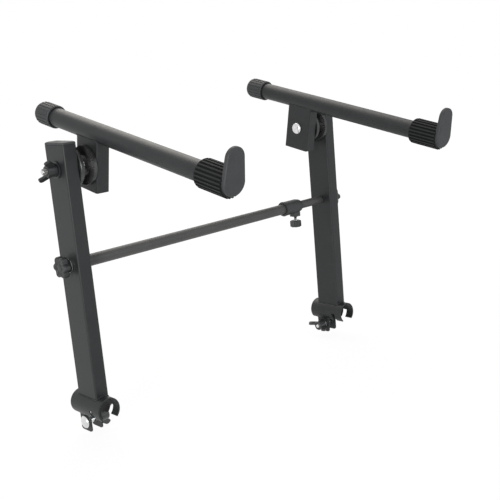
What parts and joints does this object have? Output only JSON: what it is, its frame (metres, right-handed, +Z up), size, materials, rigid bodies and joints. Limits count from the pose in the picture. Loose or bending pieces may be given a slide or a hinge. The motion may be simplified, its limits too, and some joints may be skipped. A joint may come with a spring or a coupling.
{
  "type": "second tier for a keyboard stand",
  "caption": "Clamp-on upper tier for a keyboard stand: upright side frames with rail clamps, tilting arms with lipped end caps, and a telescoping crossbar with a locking collar.",
  "frame": {"origin": "on the axis of the left clamp's saddle, in the centre plane of the left post and under the middle of its depth", "axes": "+X from the left frame to the right frame along the crossbar, +Y to the rear, away from the lipped caps and the player, +Z up along the posts"},
  "size_m": [0.5569, 0.3879, 0.4469],
  "materials": {
    "coated_steel": "satin black powder coat on steel tube",
    "moulded_plastic": "matt black moulded plastic",
    "cap_rubber": "black rubber, ribbed grip",
    "black_hardware": "black coated hardware, slightly glossier than the tubes",
    "bright_steel": "bright zinc or chrome plating"
  },
  "bodies": {
    "left_frame": {"left_post": "coated_steel", "left_post_cap": "moulded_plastic", "left_clamp_tube": "coated_steel", "left_clamp_bolt": "bright_steel", "left_clamp_washer": "bright_steel", "left_post_disc": "moulded_plastic", "left_pivot_washer": "black_hardware", "left_knob_washer": "bright_steel"},
    "left_arm": {"left_bracket": "coated_steel", "left_arm_tube": "coated_steel", "left_rear_cap": "cap_rubber", "left_front_cap": "cap_rubber", "left_bracket_disc": "moulded_plastic", "left_pivot_bolt": "bright_steel", "left_pivot_spring": "bright_steel"},
    "left_pivot_nut": {"left_pivot_wing_nut": "black_hardware"},
    "left_clamp_nut": {"left_clamp_wing_nut": "black_hardware"},
    "left_star_knob": {"left_star_knob": "moulded_plastic", "left_knob_stud": "bright_steel"},
    "right_frame": {"right_post": "coated_steel", "right_post_cap": "moulded_plastic", "right_clamp_tube": "coated_steel", "right_clamp_bolt": "bright_steel", "right_clamp_washer": "bright_steel", "right_post_disc": "moulded_plastic", "right_pivot_washer": "black_hardware", "right_knob_washer": "bright_steel"},
    "right_arm": {"right_bracket": "coated_steel", "right_arm_tube": "coated_steel", "right_rear_cap": "cap_rubber", "right_front_cap": "cap_rubber", "right_bracket_disc": "moulded_plastic", "right_pivot_bolt": "bright_steel", "right_pivot_spring": "bright_steel"},
    "right_pivot_nut": {"right_pivot_wing_nut": "black_hardware"},
    "right_clamp_nut": {"right_clamp_wing_nut": "black_hardware"},
    "right_star_knob": {"right_star_knob": "moulded_plastic", "right_knob_stud": "bright_steel"},
    "crossbar_outer": {"crossbar_outer_tube": "coated_steel", "crossbar_left_plug": "moulded_plastic", "crossbar_collar": "moulded_plastic"},
    "crossbar_inner": {"crossbar_inner_tube": "coated_steel", "crossbar_right_plug": "moulded_plastic"},
    "collar_screw": {"collar_thumb_knob": "moulded_plastic", "collar_thumb_stud": "bright_steel"}
  },
  "joints": [
    {"name": "left_swivel", "type": "hinge", "parent": "left_frame", "child": "crossbar_outer", "pos_m": [0, 0, 0.197], "axis": [1, 0, 0], "continuous": true},
    {"name": "width_slide", "type": "slide", "parent": "crossbar_outer", "child": "crossbar_inner", "axis": [1, 0, 0], "range_m": [-0.05, 0.11]},
    {"name": "right_swivel", "type": "hinge", "parent": "crossbar_inner", "child": "right_frame", "pos_m": [0.4935, 0, 0.197], "axis": [1, 0, 0], "continuous": true},
    {"name": "collar_screw_turn", "type": "hinge", "parent": "crossbar_outer", "child": "collar_screw", "pos_m": [0.419, 0, 0.17], "axis": [0, 0, 1], "continuous": true},
    {"name": "left_tilt", "type": "hinge", "parent": "left_frame", "child": "left_arm", "pos_m": [0, 0, 0.3216], "axis": [1, 0, 0], "range_deg": [-97, 72]},
    {"name": "left_pivot_nut_turn", "type": "hinge", "parent": "left_arm", "child": "left_pivot_nut", "pos_m": [0, 0, 0.3216], "axis": [1, 0, 0], "continuous": true},
    {"name": "left_clamp_nut_turn", "type": "hinge", "parent": "left_frame", "child": "left_clamp_nut", "pos_m": [0, 0.0125, -0.0246], "axis": [1, 0, 0], "continuous": true},
    {"name": "left_star_knob_turn", "type": "hinge", "parent": "left_frame", "child": "left_star_knob", "pos_m": [0, 0, 0.197], "axis": [1, 0, 0], "continuous": true},
    {"name": "right_tilt", "type": "hinge", "parent": "right_frame", "child": "right_arm", "pos_m": [0.4935, 0, 0.3216], "axis": [1, 0, 0], "range_deg": [-97, 72]},
    {"name": "right_pivot_nut_turn", "type": "hinge", "parent": "right_arm", "child": "right_pivot_nut", "pos_m": [0.4935, 0, 0.3216], "axis": [1, 0, 0], "continuous": true},
    {"name": "right_clamp_nut_turn", "type": "hinge", "parent": "right_frame", "child": "right_clamp_nut", "pos_m": [0.4935, 0.0125, -0.0246], "axis": [1, 0, 0], "continuous": true},
    {"name": "right_star_knob_turn", "type": "hinge", "parent": "right_frame", "child": "right_star_knob", "pos_m": [0.4935, 0, 0.197], "axis": [1, 0, 0], "continuous": true}
  ]
}
